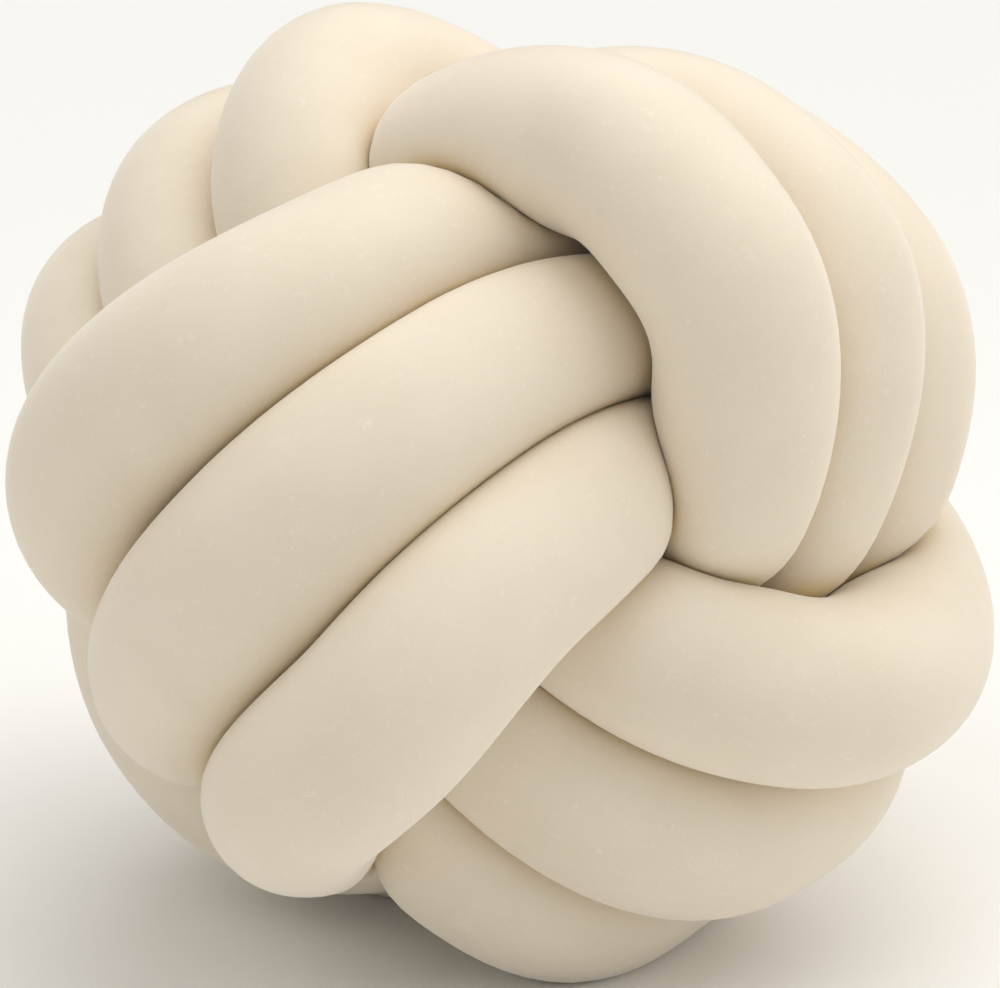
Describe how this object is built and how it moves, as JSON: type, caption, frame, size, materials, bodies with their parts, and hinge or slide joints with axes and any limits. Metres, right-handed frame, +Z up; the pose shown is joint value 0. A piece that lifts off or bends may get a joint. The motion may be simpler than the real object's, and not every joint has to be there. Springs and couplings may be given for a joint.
{
  "type": "knot cushion",
  "caption": "Ball cushion made of one long stuffed fabric tube tied in a knot, with a small flat underside to rest on.",
  "frame": {"origin": "middle of the ball's box, on the surface it rests on", "axes": "+Z up; -Y is the front, the side that shows the three long slanting strands"},
  "size_m": [0.293, 0.314, 0.2773],
  "materials": {
    "knotted_tube": "matt brushed short pile, cream"
  },
  "bodies": {
    "root": {"knotted_tube": "knotted_tube"}
  },
  "joints": []
}
